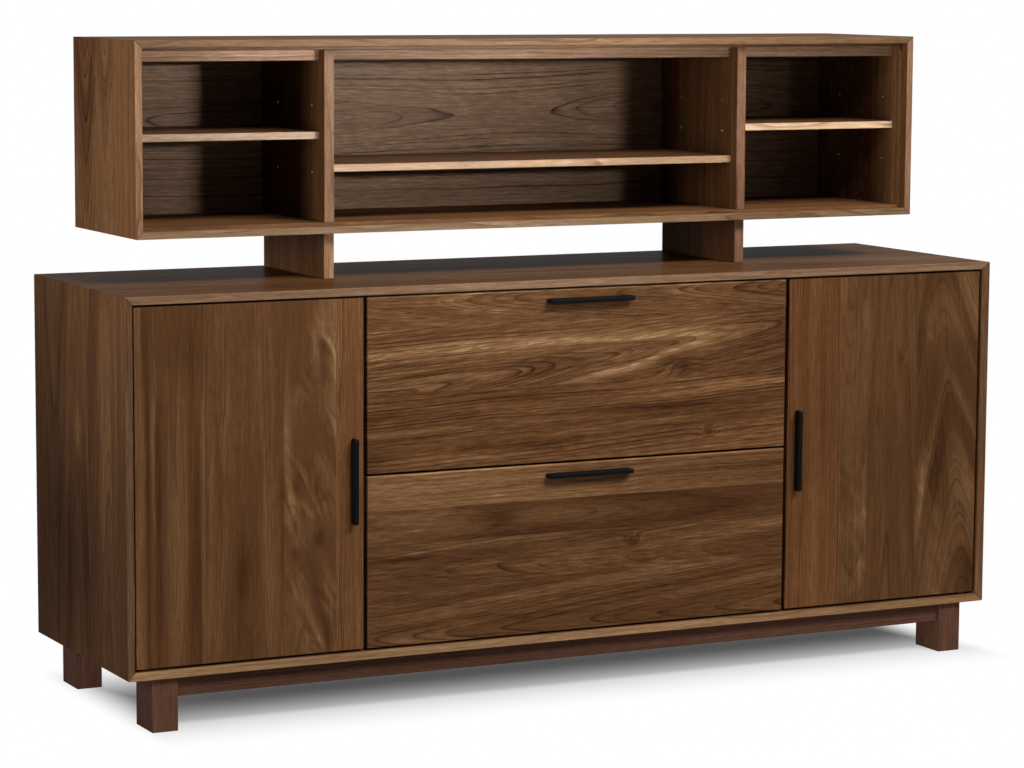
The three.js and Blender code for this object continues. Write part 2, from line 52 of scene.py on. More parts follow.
class Tree:
    """A node tree, with short ways to add nodes and to join them."""

    def __init__(self, tree):
        self.tree = tree

    def add(self, kind, inputs=None, **settings):
        node = self.tree.nodes.new(kind)
        for name, value in settings.items():
            setattr(node, name, value)
        for key, value in (inputs or {}).items():
            self.put(node.inputs[key], value)
        return node

    def put(self, socket, value):
        if isinstance(value, bpy.types.NodeSocket):
            self.tree.links.new(value, socket)
        else:
            socket.default_value = value

    def math(self, operation, *values, clamp=False):
        node = self.add("ShaderNodeMath", dict(enumerate(values)), operation=operation, use_clamp=clamp)
        return node.outputs[0]

    def vector(self, operation, *values):
        node = self.add("ShaderNodeVectorMath", dict(enumerate(values)), operation=operation)
        scalar = operation in {"LENGTH", "DISTANCE", "DOT_PRODUCT"}
        return node.outputs["Value" if scalar else "Vector"]

    def split(self, vector):
        return self.add("ShaderNodeSeparateXYZ", {0: vector}).outputs[:]

    def join(self, x, y, z):
        return self.add("ShaderNodeCombineXYZ", {0: x, 1: y, 2: z}).outputs[0]

    def noise(self, vector, stretch, detail=2.0, roughness=0.5, distortion=0.0):
        """Noise about 0, from about -1 to 1, with the given counts of waves in a metre along each axis."""
        inputs = {
            "Vector": self.vector("MULTIPLY", vector, stretch),
            "Scale": 1.0,
            "Detail": detail,
            "Roughness": roughness,
            "Distortion": distortion,
        }
        factor = self.add("ShaderNodeTexNoise", inputs, normalize=True).outputs["Fac"]
        return self.math("MULTIPLY_ADD", factor, NOISE_SPAN, -NOISE_SPAN / 2)

    def smooth(self, value, low, high, to_low=0.0, to_high=1.0):
        """A smooth step: to_low where the value is low, to_high where it is high."""
        inputs = {"Value": value, "From Min": low, "From Max": high, "To Min": to_low, "To Max": to_high}
        return self.add("ShaderNodeMapRange", inputs, interpolation_type="SMOOTHSTEP").outputs[0]

    def ramp(self, factor, stops):
        node = self.add("ShaderNodeValToRGB", {0: factor})
        elements = node.color_ramp.elements
        while len(elements) < len(stops):
            elements.new(0.5)
        for element, (position, colour) in zip(elements, stops):
            element.position = position
            element.color = (*colour, 1.0)
        return node.outputs["Color"]


def new_material(name):
    material = bpy.data.materials.new(name)
    material.use_nodes = True
    tree = Tree(material.node_tree)
    shader = material.node_tree.nodes["Principled BSDF"]
    return material, tree, shader


# Wood

# Waves in a metre, along the grain, across the board and into it
SLOW_WAVES = (1.8, 8.0, 8.0)
QUICK_WAVES = (10.0, 36.0, 36.0)
FADE_WAVES = (4.0, 25.0, 25.0)
FIBRE_WAVES = (8.0, 210.0, 210.0)
FINE_WAVES = (34.0, 360.0, 360.0)
CLOUD_WAVES = (2.0, 7.0, 7.0)
CURL_WAVES = (16.0, 34.0, 20.0)
PATCH_WAVES = (6.0, 11.0, 11.0)
PORE_WAVES = (70.0, 1500.0, 1500.0)
WAVER_WAVES = (3.0, 22.0, 22.0)
STREAK_WAVES = (3.0, 95.0, 95.0)

# Waves in a ring, then along the seed and, for the bands, in a metre of grain
UNEVEN_WAVES = (0.45, 1.0, 1.0)
BAND_WAVES = (0.23, 1.0, 0.8)

# How far the waves and a full knot move the rings, and how uneven the rings are, in rings
SLOW_BEND = 7 * MM
QUICK_BEND = 0.9 * MM
KNOT_BEND = 30 * MM
RING_UNEVENNESS = 0.7

# Wide rings have sharper lines: the power of a line's rise grows by this for each metre of spacing
LINE_SHARPNESS = 500.0

# How far one step of the seed moves the noise, and how the curled grain slants
SEED_SHIFT = (7.3, 1.0, 3.1)
CURL_SLANT = (0.7, 0.25, 0.0)
CURL_LIFT = 0.25

# The tone of plain wood, and what each mark adds to it. 0 is the palette's dark end and 1 is its light end.
PLAIN_TONE = 0.58
LINE_TONE = -1.2
BAND_TONE = 0.55
FIBRE_TONE = 0.20
FINE_TONE = 0.19
CLOUD_TONE = 0.06
CURL_TONE = 0.42
KNOT_TONE = -0.5
PORE_TONE = -0.2


def wood_figure():
    """The figure of one board, from the growth rings of the log that it was cut from.

    Place is (along the grain, across the board, into the board).
    Heart is (place of the pith across the board, depth of the pith under the face, taper of the log).
    Rings is (ring spacing, seed, curl).
    Marks is (strength of the ring lines, of the broad bands, of the fibres).
    Knots lifts the rings round knots and darkens them.
    Swell lifts the rings too, in metres, and leaves the tone as it is.
    """
    group = bpy.data.node_groups.new("wood_figure", "ShaderNodeTree")
    for name, kind in [
        ("Place", "NodeSocketVector"),
        ("Heart", "NodeSocketVector"),
        ("Rings", "NodeSocketVector"),
        ("Marks", "NodeSocketVector"),
        ("Knots", "NodeSocketFloat"),
        ("Swell", "NodeSocketFloat"),
    ]:
        group.interface.new_socket(name, in_out="INPUT", socket_type=kind)
    for name in ("Tone", "Pores"):
        group.interface.new_socket(name, in_out="OUTPUT", socket_type="NodeSocketFloat")
    tree = Tree(group)
    given = tree.add("NodeGroupInput").outputs
    along, across, into = tree.split(given["Place"])
    pith_across, pith_depth, taper = tree.split(given["Heart"])
    spacing, seed, curl = tree.split(given["Rings"])
    lines, bands, fibres = tree.split(given["Marks"])
    own = tree.vector("MULTIPLY_ADD", tree.join(seed, seed, seed), SEED_SHIFT, given["Place"])

    # Distance from the pith, bent by slow and quick waves and by knots
    offset = tree.math("SUBTRACT", across, pith_across)
    depth = tree.math("ADD", into, pith_depth)
    radius = tree.vector("LENGTH", tree.join(offset, depth, 0.0))
    radius = tree.math("MULTIPLY_ADD", along, taper, radius)
    slow = tree.noise(own, SLOW_WAVES)
    radius = tree.math("MULTIPLY_ADD", slow, SLOW_BEND, radius)
    quick = tree.noise(own, QUICK_WAVES)
    radius = tree.math("MULTIPLY_ADD", quick, QUICK_BEND, radius)
    radius = tree.math("MULTIPLY_ADD", given["Knots"], KNOT_BEND, radius)
    radius = tree.math("ADD", radius, given["Swell"])

    # Thin dark lines where each ring ends, uneven in width and strength
    count = tree.math("DIVIDE", radius, spacing)
    uneven = tree.noise(tree.join(count, seed, 0.0), UNEVEN_WAVES, detail=1.0)
    count = tree.math("MULTIPLY_ADD", uneven, RING_UNEVENNESS, count)
    ring = tree.join(tree.math("FLOOR", count), seed, 0.0)
    part = tree.math("FRACT", count)
    chance = tree.add("ShaderNodeTexWhiteNoise", {"Vector": ring}, noise_dimensions="3D")
    strength = tree.smooth(chance.outputs["Value"], 0.1, 0.9, to_low=0.2)
    sharpness = tree.math("MULTIPLY_ADD", spacing, LINE_SHARPNESS, 1.0)
    late = tree.math("MULTIPLY", tree.math("POWER", part, sharpness), tree.smooth(part, 1.0, 0.92))
    fade = tree.smooth(tree.noise(own, FADE_WAVES), -0.8, 0.5, to_low=0.35)
    line = tree.math("MULTIPLY", tree.math("MULTIPLY", late, strength), fade)

    # Broad bands of colour that follow the rings, long fibres, and curled grain that shimmers
    band = tree.noise(tree.join(count, seed, along), BAND_WAVES, detail=3.0, roughness=0.6)
    fibre = tree.noise(own, FIBRE_WAVES, detail=4.0, roughness=0.66)
    fine = tree.noise(own, FINE_WAVES)
    cloud = tree.noise(own, CLOUD_WAVES)
    slanted = tree.vector("MULTIPLY_ADD", tree.join(across, along, 0.0), CURL_SLANT, own)
    cross = tree.math("ADD", tree.noise(slanted, CURL_WAVES, distortion=1.1), CURL_LIFT)
    patch = tree.smooth(tree.noise(own, PATCH_WAVES, detail=1.0), -0.35, 0.75)
    shimmer = tree.math("MULTIPLY", tree.math("MULTIPLY", curl, patch), cross)

    # Short dark pores, most of them in the early part of each ring
    dash = tree.noise(own, PORE_WAVES, detail=0.0)
    early = tree.smooth(part, 0.0, 0.7, to_low=1.0, to_high=0.35)
    pores = tree.math("MULTIPLY", tree.smooth(dash, 0.5, 0.95), early)

    tone = PLAIN_TONE
    for mark, amount in (
        (tree.math("MULTIPLY", line, lines), LINE_TONE),
        (tree.math("MULTIPLY", band, bands), BAND_TONE),
        (tree.math("MULTIPLY", fibre, fibres), FIBRE_TONE),
        (tree.math("MULTIPLY", fine, fibres), FINE_TONE),
        (cloud, CLOUD_TONE),
        (shimmer, CURL_TONE),
        (tree.math("POWER", given["Knots"], 3.0), KNOT_TONE),
        (pores, PORE_TONE),
    ):
        tone = tree.math("MULTIPLY_ADD", mark, amount, tone)
    out = tree.add("NodeGroupOutput")
    tree.put(out.inputs["Tone"], tone)
    tree.put(out.inputs["Pores"], pores)
    return group


WOOD_FIGURE = wood_figure()

# Palettes: (tone, colour). The walnut's mean is its colour at a middling tone.
WALNUT = [
    (0.00, (0.030, 0.0115, 0.0048)),
    (0.30, (0.066, 0.0275, 0.0104)),
    (0.55, (0.108, 0.0478, 0.0186)),
    (0.80, (0.172, 0.0850, 0.0360)),
    (1.00, (0.290, 0.1700, 0.0830)),
]
WALNUT_MEAN = (0.108, 0.0478, 0.0186)
# A greyer walnut, as painted sheen: the grey veil of a satin finish, for the hutch's back and rails
PAINTED_SHEEN_WALNUT = [
    (0.00, (0.030, 0.0160, 0.0085)),
    (0.30, (0.066, 0.0370, 0.0210)),
    (0.55, (0.105, 0.0610, 0.0360)),
    (0.80, (0.165, 0.1000, 0.0620)),
    (1.00, (0.270, 0.1800, 0.1150)),
]
RED_WALNUT = [
    (0.00, (0.024, 0.0105, 0.0066)),
    (0.40, (0.062, 0.0275, 0.0175)),
    (0.70, (0.098, 0.0450, 0.0285)),
    (1.00, (0.160, 0.0800, 0.0500)),
]
MAPLE = [
    (0.00, (0.300, 0.190, 0.095)),
    (0.40, (0.470, 0.330, 0.190)),
    (0.70, (0.560, 0.420, 0.260)),
    (1.00, (0.680, 0.540, 0.370)),
]


# What a stave's red adds to its red, green and blue
RED_TINT = (0.05, -0.03, -0.10)


class Stave:
    """One strip of a glued-up board. Lengths are in metres.

    width is across the grain. pith is the place of the log's pith from the strip's low edge, and deep is how
    far it lies under the face. taper is how fast the rings drift along the log. spacing is from ring to ring,
    and seed sets the noise. curl, lines, bands and fibres are the strengths of those marks. tone scales the
    colour, red warms or cools it, and lean is how far the grain drifts across the board in each metre.
    """

    def __init__(self, width, pith=0.0, deep=0.02, taper=0.03, spacing=0.006, seed=0.0, curl=0.0,
                 lines=0.5, bands=0.4, fibres=0.6, tone=1.0, red=0.0, lean=0.0):
        self.width = width
        self.pith = pith
        self.lean = lean
        self.heart = (deep, taper)
        self.rings = (spacing, seed, curl)
        self.marks = (lines, bands, fibres)
        self.tint = tuple(tone * (1 + change * red) for change in RED_TINT)


def stave_values(tree, across, staves):
    """The values of the stave at a place across the board, as vectors: heart, rings, marks, tint and lean."""
    start = 0.0
    rows = []
    for stave in staves:
        heart = (start + stave.pith, *stave.heart)
        rows.append((start, heart, stave.rings, stave.marks, stave.tint, (0.0, stave.lean, 0.0)))
        start += stave.width
    picked = [Vector(values) for values in rows[0][1:]]
    for (_, *low), (edge, *high) in zip(rows, rows[1:]):
        past = tree.math("GREATER_THAN", across, edge)
        for i, (before, after) in enumerate(zip(low, high)):
            step = Vector(after) - Vector(before)
            picked[i] = tree.vector("MULTIPLY_ADD", tree.join(past, past, past), step, picked[i])
    return picked


def spots(tree, here, places):
    """A sum of soft spots. A spot is (along, across, radius, stretch along the grain, strength)."""
    total = 0.0
    for along, across, radius, stretch, strength in places:
        away = tree.vector("SUBTRACT", here, (along, across, 0.0))
        away = tree.vector("MULTIPLY", away, (1 / (radius * stretch), 1 / radius, 0.0))
        near = tree.math("EXPONENT", tree.math("MULTIPLY", tree.vector("DOT_PRODUCT", away, away), -1.0))
        total = tree.math("MULTIPLY_ADD", near, strength, total)
    return total


# How far the spots on a board waver, and how streaky its shades are
WAVER_REACH = (20 * MM, 5 * MM, 0.0)
STREAK_SHARE = 0.55

# Finish: roughness of the wood and what a pore adds, the pores' bump, and the clear coat
WOOD_ROUGHNESS = 0.45
PORE_ROUGHNESS = 0.2
PORE_BUMP = 0.25
PORE_DEPTH = 0.2 * MM
COAT_ROUGHNESS = 0.32

# Weight of the clear coat on most boards, on the shells' tops and bottoms, and on the shelves
PLAIN_COAT = 0.04
TOP_COAT = 0.12
SHELF_COAT = 0.45


def wood(name, staves, along, across, into, palette=WALNUT, knots=(), swells=(), shades=(), nose=None,
         coat=PLAIN_COAT):
    """A board material.

    along, across and into are (axis, sign, start): the grain, the width and the thickness.
    knots, swells and shades are spots. Knots bend the rings and darken them, swells only bend them,
    and shades make the board lighter or darker.
    nose is (depth, colour): a strip at the low edge across the board in another colour, painted light and
    sheen on that edge.
    """
    material, tree, shader = new_material(name)
    place = tree.split(tree.add("ShaderNodeTexCoord").outputs["Object"])
    parts = []
    for axis, sign, start in (along, across, into):
        parts.append(tree.math("MULTIPLY_ADD", place[AXES.index(axis)], sign, -sign * start))
    here = tree.join(*parts)
    heart, rings, marks, tint, lean = stave_values(tree, parts[1], staves)
    leaning = tree.vector("MULTIPLY_ADD", tree.join(parts[0], parts[0], parts[0]), lean, here)
    waver = tree.noise(here, WAVER_WAVES)
    bent = tree.vector("MULTIPLY_ADD", tree.join(waver, waver, waver), WAVER_REACH, here)
    figure = tree.add("ShaderNodeGroup", node_tree=WOOD_FIGURE)
    values = {
        "Place": leaning,
        "Heart": heart,
        "Rings": rings,
        "Marks": marks,
        "Knots": spots(tree, here, knots),
        "Swell": spots(tree, bent, swells),
    }
    for key, value in values.items():
        tree.put(figure.inputs[key], value)
    tone = figure.outputs["Tone"]
    if shades:
        streak = tree.noise(leaning, STREAK_WAVES, detail=3.0)
        streaky = tree.math("MULTIPLY_ADD", streak, STREAK_SHARE, 1.0)
        tone = tree.math("MULTIPLY_ADD", spots(tree, bent, shades), streaky, tone)
    colour = tree.vector("MULTIPLY", tree.ramp(tone, palette), tint)
    # The nose's colour is painted light and sheen on the edge
    if nose:
        depth, wanted = nose
        front = tree.math("LESS_THAN", parts[1], depth)
        step = [part / mean - 1 for part, mean in zip(wanted, WALNUT_MEAN)]
        level = tree.vector("MULTIPLY_ADD", tree.join(front, front, front), step, (1, 1, 1))
        colour = tree.vector("MULTIPLY", colour, level)
    tree.put(shader.inputs["Base Color"], colour)
    pores = figure.outputs["Pores"]
    roughness = tree.math("MULTIPLY_ADD", pores, PORE_ROUGHNESS, WOOD_ROUGHNESS)
    tree.put(shader.inputs["Roughness"], roughness)
    hollow = tree.math("MULTIPLY", pores, -1.0)
    bump = tree.add("ShaderNodeBump", {"Strength": PORE_BUMP, "Distance": PORE_DEPTH, "Height": hollow})
    tree.put(shader.inputs["Normal"], bump.outputs[0])
    shader.inputs["Specular IOR Level"].default_value = 0.0
    shader.inputs["Coat Weight"].default_value = coat
    shader.inputs["Coat Roughness"].default_value = COAT_ROUGHNESS
    return material


def paint(material, *names):
    for name in names:
        slots = NODES[name].data.materials
        slots.clear()
        slots.append(material)


# Boards of the doors and drawers

def door_boards():
    low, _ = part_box("left_door")
    left = wood(
        "left_door_walnut",
        [
            Stave(0.012, pith=-0.2, taper=0.004, spacing=0.005, seed=1.0, tone=1.36, bands=0.2, red=-0.6),
            Stave(0.110, pith=0.055, deep=0.006, taper=-0.022, spacing=0.010, seed=2.4, lines=0.35, bands=0.5,
                  fibres=0.4, tone=0.9),
            Stave(0.139, pith=0.065, deep=0.020, taper=0.035, spacing=0.008, seed=3.7, lines=0.3, bands=0.4,
                  fibres=0.5, tone=0.98),
            Stave(0.095, pith=0.040, deep=0.030, taper=0.09, spacing=0.012, seed=5.2, curl=0.8, lines=0.25,
                  bands=0.5, fibres=0.3, tone=0.96),
            Stave(0.051, pith=-0.35, taper=0.004, spacing=0.0042, seed=6.1, lines=0.8, bands=0.2, fibres=0.5,
                  tone=1.34, red=0.1),
        ],
        along=("z", 1, low.z),
        across=("x", 1, low.x),
        into=("y", 1, low.y),
        knots=[
            (0.140, 0.187, 0.020, 4.0, 0.55),
            (0.195, 0.323, 0.014, 1.3, 0.7),
            (0.171, 0.283, 0.016, 1.3, 0.7),
            (0.430, 0.345, 0.015, 2.0, 0.5),
        ],
        shades=[
            (0.32, 0.020, 0.006, 40.0, -0.30),
            (0.35, 0.033, 0.004, 40.0, 0.16),
            (0.28, 0.043, 0.005, 40.0, -0.24),
            (0.25, 0.076, 0.016, 15.0, 0.16),
            (0.52, 0.080, 0.030, 1.6, -0.12),
            (0.22, 0.107, 0.009, 25.0, -0.24),
            (0.30, 0.130, 0.006, 40.0, 0.12),
            (0.30, 0.150, 0.008, 25.0, -0.10),
            (0.137, 0.187, 0.015, 5.0, -0.16),
            (0.45, 0.212, 0.006, 15.0, 0.12),
            (0.20, 0.240, 0.010, 25.0, 0.10),
            (0.39, 0.268, 0.008, 10.0, 0.28),
            (0.52, 0.325, 0.022, 3.0, 0.14),
            (0.25, 0.315, 0.020, 5.0, -0.10),
        ],
    )
    paint(left, "left_door")
    low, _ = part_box("right_door")
    right = wood(
        "right_door_walnut",
        [
            Stave(0.112, pith=-0.30, taper=0.006, spacing=0.0055, seed=8.3, lines=0.5, bands=0.25, fibres=0.5,
                  tone=1.06, red=0.8),
            Stave(0.058, pith=0.024, deep=0.030, taper=-0.12, spacing=0.012, seed=9.4, curl=0.5, lines=0.2,
                  bands=0.35, fibres=0.5, tone=0.84),
            Stave(0.105, pith=0.045, deep=0.015, taper=0.05, spacing=0.009, seed=10.9, lines=0.3, bands=0.4,
                  fibres=0.4, tone=0.75, red=0.3),
            Stave(0.132, pith=0.110, deep=0.020, taper=0.27, spacing=0.0075, seed=12.2, curl=0.4, lines=0.45,
                  bands=0.55, fibres=0.35, tone=0.80, lean=0.1),
        ],
        along=("z", 1, low.z),
        across=("x", 1, low.x),
        into=("y", 1, low.y),
        knots=[
            (0.443, 0.240, 0.010, 1.6, 0.8),
            (0.560, 0.160, 0.012, 2.0, 0.7),
            (0.340, 0.192, 0.012, 2.0, 0.4),
        ],
        shades=[
            (0.530, 0.165, 0.007, 5.0, 0.26),
            (0.575, 0.116, 0.006, 5.0, 0.24),
            (0.150, 0.152, 0.014, 1.5, 0.16),
            (0.410, 0.188, 0.003, 25.0, 0.16),
            (0.120, 0.204, 0.004, 25.0, 0.14),
            (0.500, 0.335, 0.050, 1.3, 0.20),
            (0.467, 0.300, 0.010, 0.8, 0.14),
            (0.200, 0.328, 0.022, 3.5, -0.22),
            (0.270, 0.345, 0.016, 1.8, -0.12),
            (0.040, 0.392, 0.016, 2.5, -0.20),
            (0.150, 0.289, 0.008, 14.0, 0.16),
        ],
    )
    paint(right, "right_door")


# A painted highlight on the top edge of a drawer front, where the eased edge catches the light: its depth and
# its colour
PAINTED_TOP_HIGHLIGHT = (2.5 * MM, (0.200, 0.095, 0.040))


def drawer_boards():
    low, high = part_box("upper_drawer_front")
    upper = wood(
        "upper_drawer_walnut",
        [
            Stave(0.055, pith=0.012, deep=0.010, taper=-0.11, spacing=0.0045, seed=21.0, lines=0.5, bands=0.4,
                  fibres=1.0, tone=1.18, red=-0.6),
            Stave(0.109, pith=0.118, deep=0.012, taper=0.085, spacing=0.0042, seed=22.6, lines=0.75,
                  bands=0.6, fibres=1.0, tone=1.40, red=-0.6, lean=0.12),
            Stave(0.135, pith=0.40, taper=0.0, spacing=0.0068, seed=23.8, lines=0.9, bands=0.6, fibres=1.0,
                  tone=1.24, lean=0.04),
        ],
        along=("x", 1, low.x),
        across=("z", -1, high.z),
        into=("y", 1, low.y),
        knots=[
            (0.600, 0.140, 0.016, 2.2, 0.7),
            (0.660, 0.264, 0.009, 1.3, 0.8),
        ],
        shades=[
            (0.25, 0.100, 0.045, 6.0, 0.14),
            (0.78, 0.110, 0.060, 2.0, -0.18),
            (0.61, 0.143, 0.014, 3.5, -0.22),
            (0.55, 0.214, 0.005, 45.0, -0.26),
            (0.30, 0.268, 0.006, 20.0, -0.22),
            (0.00, 0.285, 0.030, 2.5, -0.22),
            (0.15, 0.193, 0.006, 25.0, 0.20),
            (0.70, 0.175, 0.008, 20.0, 0.14),
        ],
        # The top edge carries the painted highlight
        nose=PAINTED_TOP_HIGHLIGHT,
    )
    paint(upper, "upper_drawer_front")
    low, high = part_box("lower_drawer_front")
    lower = wood(
        "lower_drawer_walnut",
        [
            Stave(0.061, pith=-0.3, taper=0.006, spacing=0.005, seed=31.0, lines=0.35, bands=0.25, fibres=0.9,
                  tone=1.54, red=-0.9),
            Stave(0.059, pith=0.028, deep=0.020, taper=0.06, spacing=0.008, seed=32.5, curl=0.15, lines=0.3,
                  bands=0.6, fibres=0.7, tone=0.76, red=0.4),
            Stave(0.075, pith=0.050, deep=0.020, taper=-0.09, spacing=0.0045, seed=33.1, curl=0.2, lines=0.5,
                  bands=0.4, fibres=0.9, tone=0.98),
            Stave(0.098, pith=0.085, deep=0.012, taper=-0.10, spacing=0.006, seed=34.8, lines=0.6, bands=0.6,
                  fibres=0.8, tone=0.96),
        ],
        along=("x", 1, low.x),
        across=("z", -1, high.z),
        into=("y", 1, low.y),
        knots=[
            (0.510, 0.148, 0.011, 1.6, 0.8),
            (0.245, 0.090, 0.022, 2.0, 0.25),
        ],
        shades=[
            (0.10, 0.030, 0.030, 9.0, 0.14),
            (0.78, 0.030, 0.030, 9.0, -0.20),
            (0.243, 0.086, 0.018, 2.5, -0.16),
            (0.120, 0.085, 0.015, 5.0, 0.06),
            (0.350, 0.112, 0.006, 12.0, -0.18),
            (0.050, 0.147, 0.006, 14.0, -0.24),
            (0.250, 0.127, 0.008, 20.0, 0.14),
            (0.535, 0.182, 0.012, 2.0, -0.18),
            (0.080, 0.268, 0.012, 8.0, -0.18),
            (0.300, 0.262, 0.005, 18.0, -0.22),
            (0.100, 0.204, 0.008, 20.0, 0.12),
        ],
        # The top edge carries the painted highlight
        nose=PAINTED_TOP_HIGHLIGHT,
    )
    paint(lower, "lower_drawer_front")


# Boards of the shells, with the grain running over the mitres

# How far a bottom board lies from its top board along the log, in metres
BOTTOM_SHIFT = 2.0
# Depth of the front edges whose colour is painted light and sheen
CASE_NOSE = 4.5 * MM
THIN_NOSE = 0.8 * MM


def shell_boards(prefix, staves, noses, nose_depth, knots=(), shades=()):
    low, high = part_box(f"{prefix}_top")
    base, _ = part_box(f"{prefix}_bottom")
    across = ("y", 1, low.y)
    runs = {
        "top": (("x", 1, low.x), ("z", -1, high.z)),
        "left_side": (("z", 1, high.z), ("x", 1, low.x)),
        "right_side": (("z", -1, high.z + (high.x - low.x)), ("x", -1, high.x)),
        "bottom": (("x", 1, low.x + BOTTOM_SHIFT), ("z", 1, base.z)),
    }
    for board, (along, into) in runs.items():
        coat = PLAIN_COAT if board.endswith("side") else TOP_COAT
        look = {"knots": knots, "shades": shades, "nose": (nose_depth, noses[board]), "coat": coat}
        paint(wood(f"{prefix}_{board}_walnut", staves, along, across, into, **look), f"{prefix}_{board}")


def case_shell():
    staves = [
        Stave(0.059, pith=-0.25, taper=0.004, spacing=0.006, seed=41.0, lines=0.4, bands=0.3, tone=0.95),
        Stave(0.125, pith=0.029, deep=0.02, taper=0.10, spacing=0.010, seed=42.3, lines=0.4, bands=0.5,
              tone=0.92),
        Stave(0.120, pith=0.058, deep=0.03, taper=0.06, spacing=0.010, seed=43.9, lines=0.3, bands=0.5,
              tone=0.95, red=0.5),
        Stave(0.100, pith=0.050, deep=0.02, taper=-0.16, spacing=0.010, seed=44.4, lines=0.4, bands=0.6,
              tone=0.9),
        Stave(0.060, pith=0.300, taper=0.004, spacing=0.006, seed=45.5, lines=0.5, bands=0.4, tone=0.9,
              red=0.4),
    ]
    # The front edges' colours are painted light and sheen, lightest on the top board's edge
    noses = {
        "top": (0.270, 0.155, 0.086),
        "bottom": (0.200, 0.108, 0.050),
        "left_side": (0.125, 0.064, 0.033),
        "right_side": (0.125, 0.060, 0.028),
    }
    knots = [(-0.237, 0.242, 0.014, 1.4, 0.6)]
    shades = [
        (-0.237, 0.242, 0.020, 2.2, 0.26),
        (-0.33, 0.20, 0.012, 14.0, -0.14),
        (-0.25, 0.115, 0.008, 25.0, 0.14),
        (-0.30, 0.062, 0.006, 40.0, -0.16),
        (-0.10, 0.330, 0.030, 3.0, -0.14),
        # The last three spots darken the left side towards its lower back: painted shade
        (-0.52, 0.260, 0.170, 1.2, -0.26),
        (-0.42, 0.335, 0.050, 3.0, -0.20),
        (-0.30, 0.430, 0.040, 8.0, -0.24),
    ]
    shell_boards("case", staves, noses, CASE_NOSE, knots, shades)


def hutch_shell():
    staves = [
        Stave(0.111, pith=-0.20, taper=0.004, spacing=0.005, seed=51.0, lines=0.45, bands=0.25, tone=1.34,
              red=0.2),
        Stave(0.082, pith=0.036, deep=0.012, taper=-0.20, spacing=0.006, seed=52.7, lines=0.6, bands=0.4,
              tone=1.22),
        Stave(0.112, pith=0.050, deep=0.03, taper=-0.14, spacing=0.009, seed=53.3, curl=0.4, lines=0.7,
              bands=0.6, tone=1.16, red=0.5),
    ]
    # The front edges' colours are painted light and sheen
    noses = {
        "top": (0.110, 0.060, 0.029),
        "bottom": (0.150, 0.091, 0.048),
        "left_side": (0.174, 0.097, 0.053),
        "right_side": (0.180, 0.096, 0.055),
    }
    shell_boards("hutch", staves, noses, THIN_NOSE)


# Boards inside the case and the hutch

PLAIN_LOOK = {"pith": -0.25, "deep": 0.03, "taper": 0.01, "spacing": 0.007}


def plain_board(node, grain, width, thickness, seed, nose=None, palette=WALNUT, swells=(),
                coat=PLAIN_COAT, **look):
    """Paints a board of one stave. grain, width and thickness are axes. look holds the stave's values."""
    low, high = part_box(node)
    size = high - low
    span = size[AXES.index(width)]
    stave = Stave(span, **{**PLAIN_LOOK, "seed": seed, **look})
    starts = [(axis, 1, low[AXES.index(axis)]) for axis in (grain, width, thickness)]
    paint(wood(f"{node}_wood", [stave], *starts, palette, swells=swells, nose=nose, coat=coat), node)


def inner_boards():
    swells = [
        (0.28, 0.165, 0.055, 7.5, -0.064),
        (1.26, 0.185, 0.060, 5.4, -0.064),
    ]
    # The back is lighter and greyer than the walnut: painted light and painted sheen
    plain_board("hutch_back", "x", "z", "y", 61.0, palette=PAINTED_SHEEN_WALNUT, swells=swells, pith=0.180, deep=0.030,
                taper=0.0, spacing=0.012, curl=0.25, lines=0.9, bands=0.25, fibres=0.9, tone=1.5)
    plain_board("case_back", "x", "z", "y", 62.0, pith=0.30, taper=0.05, spacing=0.014)
    seed = 70.0
    # Front edge colours are painted light and sheen, lighter on the left divider and post where more light
    # falls
    uprights = {
        "left_partition": (0.120, 0.055, 0.024),
        "right_partition": (0.120, 0.055, 0.024),
        "hutch_left_divider": (0.305, 0.185, 0.111),
        "hutch_right_divider": (0.220, 0.115, 0.068),
        "left_post": (0.320, 0.178, 0.094),
        "right_post": (0.250, 0.135, 0.078),
    }
    for name, edge in uprights.items():
        seed += 1.3
        plain_board(name, "z", "y", "x", seed, nose=(THIN_NOSE, edge), tone=0.75, red=0.6)
    # Front edge colours are painted light and sheen; the right shelf's edge is painted much lighter, as
    # painted light lifting it out of the shade of the hutch's right side
    shelves = {
        "left_cabinet_shelf": (0.215, 0.108, 0.046),
        "right_cabinet_shelf": (0.215, 0.108, 0.046),
        "hutch_left_shelf": (0.275, 0.168, 0.095),
        "hutch_centre_shelf": (0.39, 0.232, 0.122),
        "hutch_right_shelf": (0.80, 0.530, 0.320),
    }
    for name, edge in shelves.items():
        seed += 1.3
        plain_board(name, "x", "y", "z", seed, nose=(THIN_NOSE, edge), coat=SHELF_COAT, tone=0.9)
    # The rails are lighter and greyer: partly lighter wood, partly painted light and sheen; the side rails
    # are painted lighter still where less light reaches them
    for name, tone in (("hutch_left_rail", 3.2), ("hutch_centre_rail", 2.3), ("hutch_right_rail", 3.2)):
        seed += 1.3
        plain_board(name, "x", "z", "y", seed, tone=tone, palette=PAINTED_SHEEN_WALNUT)


def base_boards():
    seed = 90.0
    look = {"palette": RED_WALNUT, "lines": 0.3, "bands": 0.2}
    for name in ("front_left_leg", "front_right_leg", "rear_left_leg", "rear_right_leg"):
        seed += 1.7
        plain_board(name, "z", "x", "y", seed, fibres=0.8, tone=1.25, **look)
    plain_board("front_apron", "x", "z", "y", 99.0, tone=1.05, **look)


def drawer_box_boards():
    seed = 110.0
    for drawer in ("upper", "lower"):
        for part, grain, width, thickness in (
            ("left_side", "y", "z", "x"),
            ("right_side", "y", "z", "x"),
            ("back", "x", "z", "y"),
            ("bottom", "x", "y", "z"),
        ):
            seed += 1.9
            board = f"{drawer}_drawer_{part}"
            plain_board(board, grain, width, thickness, seed, palette=MAPLE, lines=0.3, bands=0.2)


